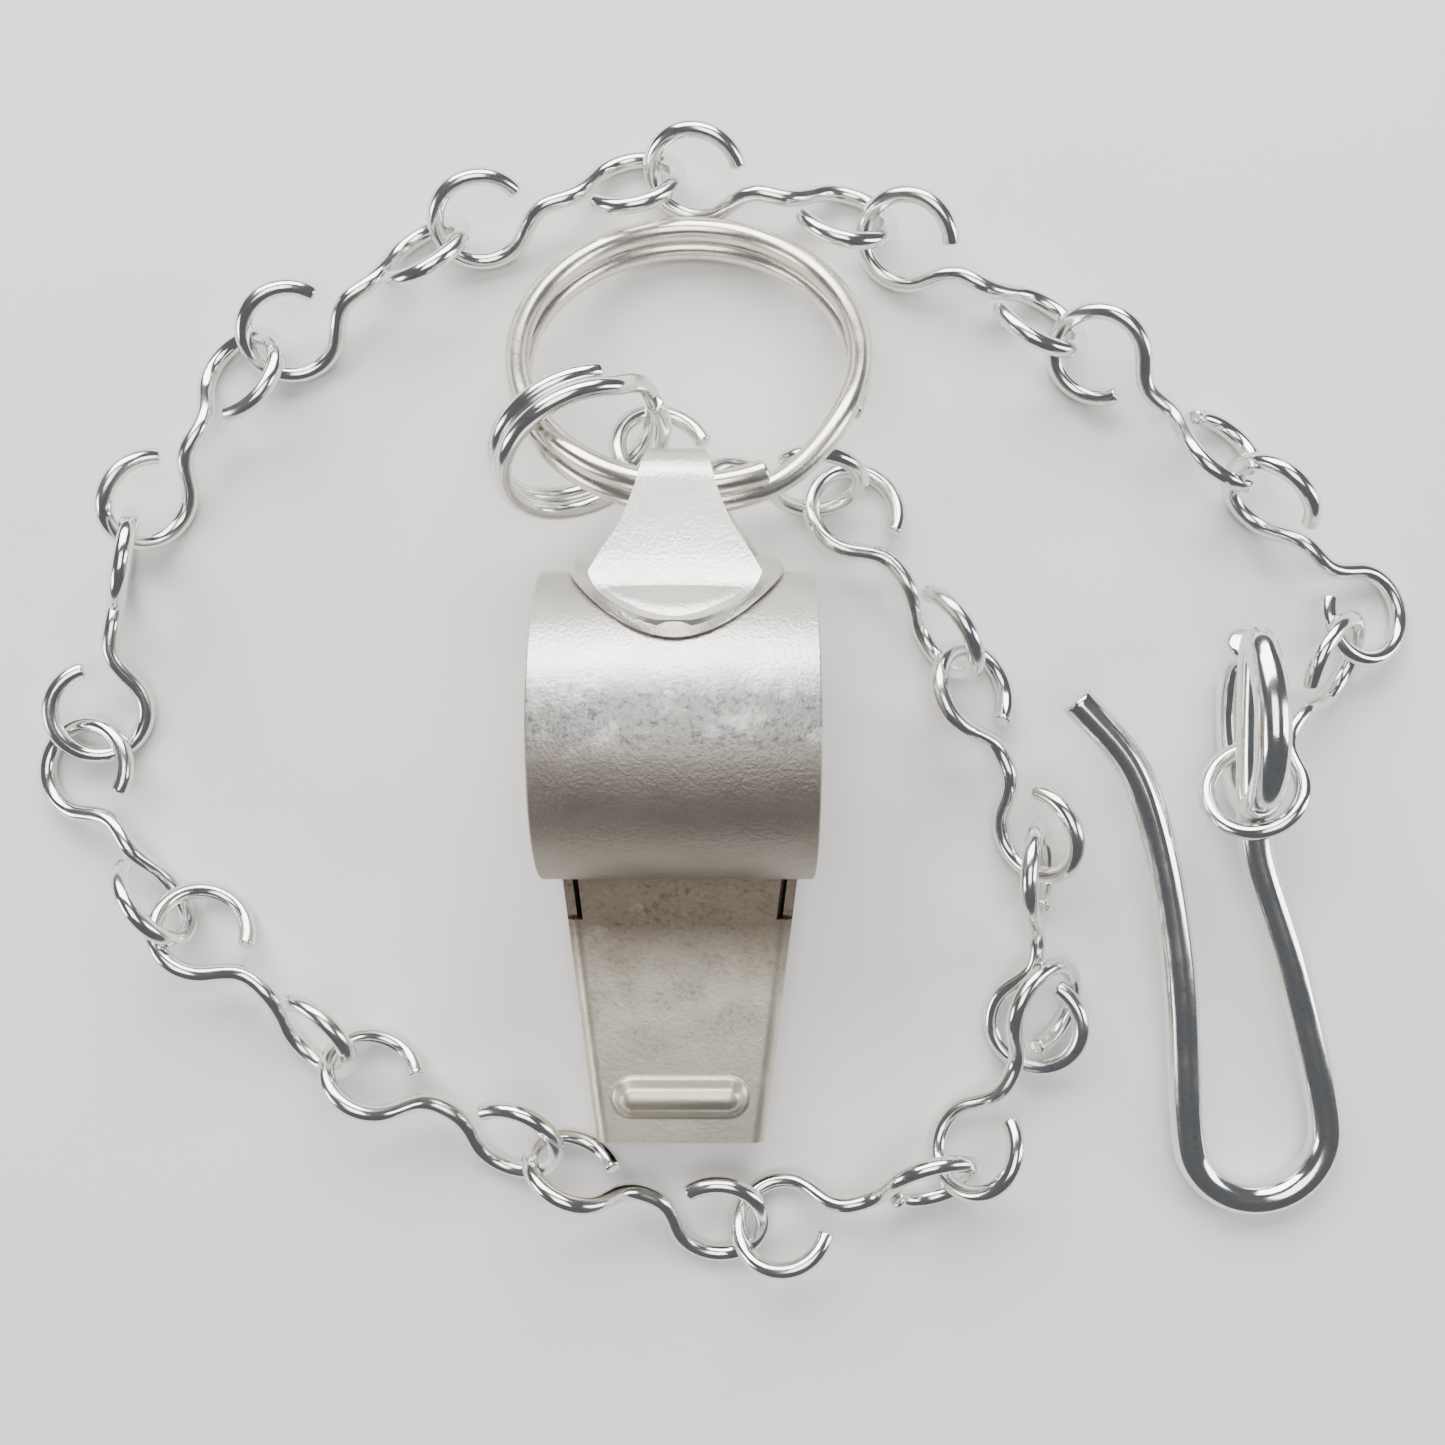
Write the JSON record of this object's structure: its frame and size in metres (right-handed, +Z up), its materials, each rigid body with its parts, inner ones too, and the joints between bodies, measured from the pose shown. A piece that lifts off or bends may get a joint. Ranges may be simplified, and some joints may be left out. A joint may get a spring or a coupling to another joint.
{
  "type": "training whistle",
  "caption": "Metal pea whistle with a wide barrel, a tapered flat mouthpiece, two split rings, a jack chain and a wire belt hook.",
  "frame": {"origin": "middle of the footprint of the whole assembly, on the surface it lies on", "axes": "+Z up from the surface, -Y from the barrel towards the mouthpiece tip, +X to the right seen from above"},
  "size_m": [0.111, 0.0908, 0.0237],
  "materials": {
    "barrel_nickel": "satin nickel plate with fine grain and a mottled tarnish band",
    "mouthpiece_nickel": "satin nickel plate, stained brown near the barrel and worn warm at the edges",
    "large_ring_nickel": "satin nickel plated spring wire, slightly yellow",
    "small_ring_chrome": "bright plated spring wire",
    "chain_chrome": "bright plated wire with cut ends",
    "hook_chrome": "bright plated heavy wire",
    "pea_cork": "natural cork"
  },
  "bodies": {
    "whistle": {"barrel_band": "barrel_nickel", "left_end_plate": "barrel_nickel", "right_end_plate": "barrel_nickel", "windway_plate": "mouthpiece_nickel", "left_cheek": "mouthpiece_nickel", "right_cheek": "mouthpiece_nickel", "mouth_underside": "mouthpiece_nickel", "windway_tongue": "mouthpiece_nickel", "ring_bail": "barrel_nickel"},
    "pea": {"pea": "pea_cork"},
    "large_ring": {"large_split_ring": "large_ring_nickel"},
    "small_ring": {"small_split_ring": "small_ring_chrome"},
    "link_01": {"chain_link_01": "chain_chrome"},
    "link_02": {"chain_link_02": "chain_chrome"},
    "link_03": {"chain_link_03": "chain_chrome"},
    "link_04": {"chain_link_04": "chain_chrome"},
    "link_05": {"chain_link_05": "chain_chrome"},
    "link_06": {"chain_link_06": "chain_chrome"},
    "link_07": {"chain_link_07": "chain_chrome"},
    "link_08": {"chain_link_08": "chain_chrome"},
    "link_09": {"chain_link_09": "chain_chrome"},
    "link_10": {"chain_link_10": "chain_chrome"},
    "link_11": {"chain_link_11": "chain_chrome"},
    "link_12": {"chain_link_12": "chain_chrome"},
    "link_13": {"chain_link_13": "chain_chrome"},
    "link_14": {"chain_link_14": "chain_chrome"},
    "link_15": {"chain_link_15": "chain_chrome"},
    "link_16": {"chain_link_16": "chain_chrome"},
    "link_17": {"chain_link_17": "chain_chrome"},
    "link_18": {"chain_link_18": "chain_chrome"},
    "link_19": {"chain_link_19": "chain_chrome"},
    "hook": {"belt_hook": "hook_chrome"}
  },
  "joints": [
    {"name": "pea_tumble", "type": "hinge", "parent": "whistle", "child": "pea", "pos_m": [-0.00335, -0.00182, 0.0114], "axis": [1, 0, 0], "continuous": true},
    {"name": "large_ring_swing", "type": "hinge", "parent": "whistle", "child": "large_ring", "pos_m": [-0.00339, 0.01488, 0.01493], "axis": [1, 0, 0], "range_deg": [-8, 24]},
    {"name": "small_ring_swing", "type": "hinge", "parent": "large_ring", "child": "small_ring", "pos_m": [-0.01315, 0.01956, 0.01222], "axis": [0.5807, -0.7041, 0.4088], "range_deg": [-4, 4]},
    {"name": "link_01_swing", "type": "hinge", "parent": "small_ring", "child": "link_01", "pos_m": [-0.00542, 0.02001, 0.0066], "axis": [0.1564, 0.9877, 0], "range_deg": [-12, 12]},
    {"name": "link_02_swing", "type": "hinge", "parent": "link_01", "child": "link_02", "pos_m": [0.00891, 0.01643, 0.00301], "axis": [-0.8191, -0.5736, 0], "range_deg": [-20, 10]},
    {"name": "link_03_swing", "type": "hinge", "parent": "link_02", "child": "link_03", "pos_m": [0.01874, 0.00316, 0.00364], "axis": [0.9135, 0.4067, 0], "range_deg": [-12, 20]},
    {"name": "link_04_swing", "type": "hinge", "parent": "link_03", "child": "link_04", "pos_m": [0.02492, -0.01196, 0.00383], "axis": [-0.9998, -0.0174, 0], "range_deg": [-20, 12]},
    {"name": "link_05_swing", "type": "hinge", "parent": "link_04", "child": "link_05", "pos_m": [0.02531, -0.02501, 0.00277], "axis": [0.8988, -0.4384, 0], "range_deg": [-8, 8]},
    {"name": "link_06_swing", "type": "hinge", "parent": "link_05", "child": "link_06", "pos_m": [0.01835, -0.03672, 0.00352], "axis": [-0.2924, 0.9563, 0], "range_deg": [-20, 12]},
    {"name": "link_07_swing", "type": "hinge", "parent": "link_06", "child": "link_07", "pos_m": [0.0022, -0.04153, 0.00263], "axis": [-0.3584, -0.9336, 0], "range_deg": [-20, 20]},
    {"name": "link_08_swing", "type": "hinge", "parent": "link_07", "child": "link_08", "pos_m": [-0.01427, -0.03595, 0.00353], "axis": [-0.4384, -0.8988, 0], "range_deg": [-12, 20]},
    {"name": "link_09_swing", "type": "hinge", "parent": "link_08", "child": "link_09", "pos_m": [-0.03011, -0.02801, 0.00357], "axis": [-0.6691, -0.7431, 0], "range_deg": [-20, 12]},
    {"name": "link_10_swing", "type": "hinge", "parent": "link_09", "child": "link_10", "pos_m": [-0.04321, -0.01694, 0.00368], "axis": [0.848, 0.5299, 0], "range_deg": [-20, 0]},
    {"name": "link_11_swing", "type": "hinge", "parent": "link_10", "child": "link_11", "pos_m": [-0.05069, -0.00304, 0.00193], "axis": [-0.9744, 0.225, 0], "range_deg": [-6, 20]},
    {"name": "link_12_swing", "type": "hinge", "parent": "link_11", "child": "link_12", "pos_m": [-0.04648, 0.01361, 0.00393], "axis": [-0.8191, 0.5736, 0], "range_deg": [-10, 12]},
    {"name": "link_13_swing", "type": "hinge", "parent": "link_12", "child": "link_13", "pos_m": [-0.0365, 0.02785, 0.00295], "axis": [-0.5, 0.866, 0], "range_deg": [-20, 20]},
    {"name": "link_14_swing", "type": "hinge", "parent": "link_13", "child": "link_14", "pos_m": [-0.0215, 0.03703, 0.00349], "axis": [0.2419, -0.9703, 0], "range_deg": [-20, 8]},
    {"name": "link_15_swing", "type": "hinge", "parent": "link_14", "child": "link_15", "pos_m": [-0.00471, 0.04169, 0.0033], "axis": [-0.2756, -0.9613, 0], "range_deg": [-20, 8]},
    {"name": "link_16_swing", "type": "hinge", "parent": "link_15", "child": "link_16", "pos_m": [0.01215, 0.03773, 0.00321], "axis": [-0.5299, -0.848, 0], "range_deg": [-20, 10]},
    {"name": "link_17_swing", "type": "hinge", "parent": "link_16", "child": "link_17", "pos_m": [0.02747, 0.02896, 0.00338], "axis": [0.6157, 0.788, 0], "range_deg": [-8, 20]},
    {"name": "link_18_swing", "type": "hinge", "parent": "link_17", "child": "link_18", "pos_m": [0.04141, 0.01808, 0.00378], "axis": [-0.7431, -0.6691, 0], "range_deg": [-8, 20]},
    {"name": "link_19_swing", "type": "hinge", "parent": "link_18", "child": "link_19", "pos_m": [0.0499, 0.00512, 0.00293], "axis": [-0.8191, 0.5736, 0], "range_deg": [-8, 10]},
    {"name": "hook_swing", "type": "hinge", "parent": "link_19", "child": "hook", "pos_m": [0.04145, -0.00807, 0.00531], "axis": [0.0063, -0.121, 0.9926], "range_deg": [-6, 12]}
  ]
}
